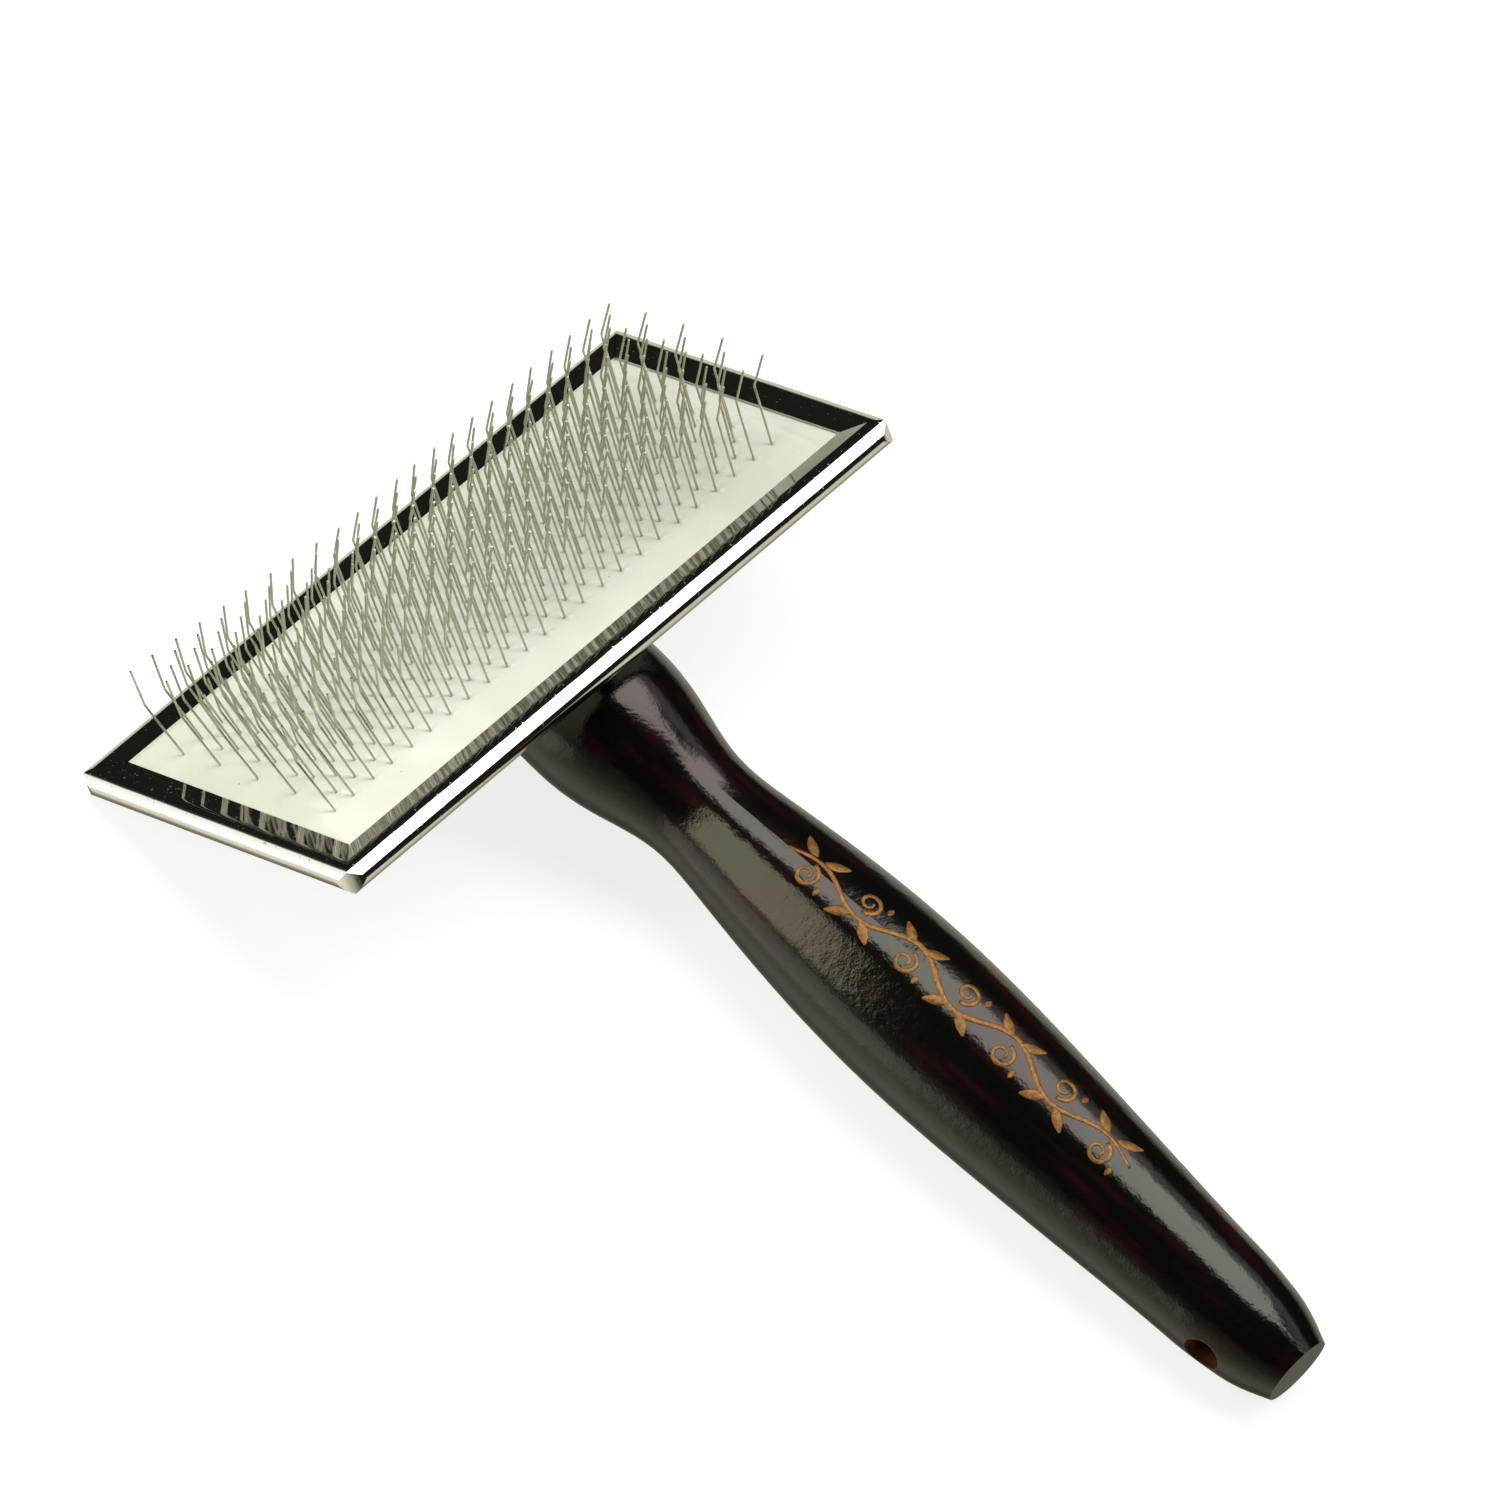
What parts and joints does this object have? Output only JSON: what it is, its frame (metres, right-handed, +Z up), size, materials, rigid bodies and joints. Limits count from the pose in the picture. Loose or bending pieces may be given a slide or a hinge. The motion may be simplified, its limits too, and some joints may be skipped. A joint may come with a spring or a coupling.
{
  "type": "slicker brush",
  "caption": "Pet slicker brush: bent wire pins set in a cushioned pad in a rolled chrome tray, on a turned dark wood handle with a hanging hole.",
  "frame": {"origin": "on the table under the middle of the brush's box, the brush lying pins up on its head's far edge and its handle", "axes": "+X along the handle from the head to the butt, +Y along the head's long side, +Z up"},
  "size_m": [0.1908, 0.1148, 0.0478],
  "materials": {
    "lacquered_wood": "dark mahogany stain under gloss lacquer",
    "chrome_sheet": "bright plated",
    "screw_steel": "zinc plated",
    "cushion_foam": "open foam",
    "backing_cloth": "rubberised cotton ply",
    "facing_rubber": "matt, faintly dimpled",
    "pin_wire": "bright drawn wire"
  },
  "bodies": {
    "brush_head": {"handle": "lacquered_wood", "tray": "chrome_sheet", "tray_screws": "screw_steel", "cushion": "cushion_foam", "pad_backing": "backing_cloth", "pad_facing": "facing_rubber"},
    "pin_row_01_staples": {"pin_row_01": "pin_wire"},
    "pin_row_02_staples": {"pin_row_02": "pin_wire"},
    "pin_row_03_staples": {"pin_row_03": "pin_wire"},
    "pin_row_04_staples": {"pin_row_04": "pin_wire"},
    "pin_row_05_staples": {"pin_row_05": "pin_wire"},
    "pin_row_06_staples": {"pin_row_06": "pin_wire"},
    "pin_row_07_staples": {"pin_row_07": "pin_wire"},
    "pin_row_08_staples": {"pin_row_08": "pin_wire"},
    "pin_row_09_staples": {"pin_row_09": "pin_wire"},
    "pin_row_10_staples": {"pin_row_10": "pin_wire"},
    "pin_row_11_staples": {"pin_row_11": "pin_wire"},
    "pin_row_12_staples": {"pin_row_12": "pin_wire"},
    "pin_row_13_staples": {"pin_row_13": "pin_wire"}
  },
  "joints": [
    {"name": "pin_row_01_rock", "type": "hinge", "parent": "brush_head", "child": "pin_row_01_staples", "pos_m": [-0.08474, 0, 0.01073], "axis": [0, 1, 0], "range_deg": [-8, 8], "stiffness_Nm_per_rad": 0.01},
    {"name": "pin_row_02_rock", "type": "hinge", "parent": "brush_head", "child": "pin_row_02_staples", "pos_m": [-0.08255, 0, 0.01261], "axis": [0, 1, 0], "range_deg": [-8, 8], "stiffness_Nm_per_rad": 0.01},
    {"name": "pin_row_03_rock", "type": "hinge", "parent": "brush_head", "child": "pin_row_03_staples", "pos_m": [-0.08034, 0, 0.01445], "axis": [0, 1, 0], "range_deg": [-8, 8], "stiffness_Nm_per_rad": 0.01},
    {"name": "pin_row_04_rock", "type": "hinge", "parent": "brush_head", "child": "pin_row_04_staples", "pos_m": [-0.07809, 0, 0.01624], "axis": [0, 1, 0], "range_deg": [-8, 8], "stiffness_Nm_per_rad": 0.01},
    {"name": "pin_row_05_rock", "type": "hinge", "parent": "brush_head", "child": "pin_row_05_staples", "pos_m": [-0.07581, 0, 0.01799], "axis": [0, 1, 0], "range_deg": [-8, 8], "stiffness_Nm_per_rad": 0.01},
    {"name": "pin_row_06_rock", "type": "hinge", "parent": "brush_head", "child": "pin_row_06_staples", "pos_m": [-0.0735, 0, 0.0197], "axis": [0, 1, 0], "range_deg": [-8, 8], "stiffness_Nm_per_rad": 0.01},
    {"name": "pin_row_07_rock", "type": "hinge", "parent": "brush_head", "child": "pin_row_07_staples", "pos_m": [-0.07117, 0, 0.02137], "axis": [0, 1, 0], "range_deg": [-8, 8], "stiffness_Nm_per_rad": 0.01},
    {"name": "pin_row_08_rock", "type": "hinge", "parent": "brush_head", "child": "pin_row_08_staples", "pos_m": [-0.0688, 0, 0.02299], "axis": [0, 1, 0], "range_deg": [-8, 8], "stiffness_Nm_per_rad": 0.01},
    {"name": "pin_row_09_rock", "type": "hinge", "parent": "brush_head", "child": "pin_row_09_staples", "pos_m": [-0.06641, 0, 0.02458], "axis": [0, 1, 0], "range_deg": [-8, 8], "stiffness_Nm_per_rad": 0.01},
    {"name": "pin_row_10_rock", "type": "hinge", "parent": "brush_head", "child": "pin_row_10_staples", "pos_m": [-0.06398, 0, 0.02612], "axis": [0, 1, 0], "range_deg": [-8, 8], "stiffness_Nm_per_rad": 0.01},
    {"name": "pin_row_11_rock", "type": "hinge", "parent": "brush_head", "child": "pin_row_11_staples", "pos_m": [-0.06153, 0, 0.02762], "axis": [0, 1, 0], "range_deg": [-8, 8], "stiffness_Nm_per_rad": 0.01},
    {"name": "pin_row_12_rock", "type": "hinge", "parent": "brush_head", "child": "pin_row_12_staples", "pos_m": [-0.05905, 0, 0.02908], "axis": [0, 1, 0], "range_deg": [-8, 8], "stiffness_Nm_per_rad": 0.01},
    {"name": "pin_row_13_rock", "type": "hinge", "parent": "brush_head", "child": "pin_row_13_staples", "pos_m": [-0.05653, 0, 0.03049], "axis": [0, 1, 0], "range_deg": [-8, 8], "stiffness_Nm_per_rad": 0.01}
  ]
}
